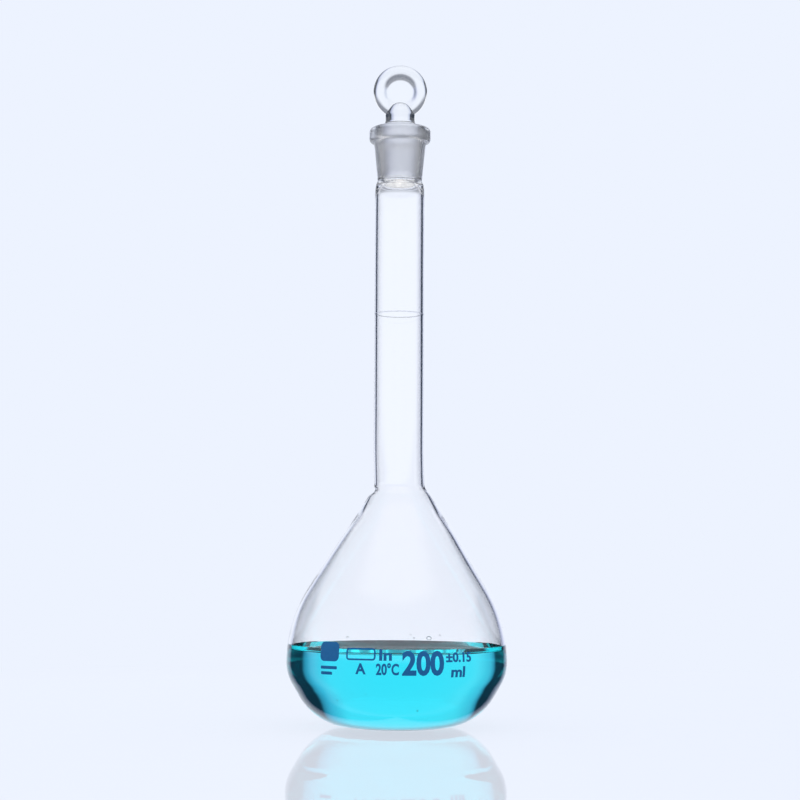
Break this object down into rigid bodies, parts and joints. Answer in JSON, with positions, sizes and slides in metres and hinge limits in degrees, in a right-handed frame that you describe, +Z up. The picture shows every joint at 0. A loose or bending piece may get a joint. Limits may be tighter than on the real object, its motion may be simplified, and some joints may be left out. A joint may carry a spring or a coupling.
{
  "type": "volumetric flask",
  "caption": "Pear-shaped glass volumetric flask with a long marked neck, a ground socket and a flat-headed ground stopper, part filled with blue solution.",
  "frame": {"origin": "centre of the base on the plane the flask stands on", "axes": "+Z up along the flask's axis to the stopper; the flat head of the stopper and the printed side face -Y"},
  "size_m": [0.0744, 0.0744, 0.2268],
  "materials": {
    "borosilicate_glass": "clear, fire polished",
    "ground_glass": "clear head and stem, frosted ground plug",
    "blue_solution": "clear bright blue liquid",
    "mark_enamel": "thin fired enamel"
  },
  "bodies": {
    "flask": {"bulb": "borosilicate_glass", "neck_tube": "borosilicate_glass", "ground_socket": "borosilicate_glass", "graduation_ring": "mark_enamel", "solution": "blue_solution"},
    "stopper": {"stopper": "ground_glass"}
  },
  "joints": [
    {"name": "stopper_lift", "type": "slide", "parent": "flask", "child": "stopper", "axis": [0, 0, 1], "range_m": [0, 0.05]}
  ]
}
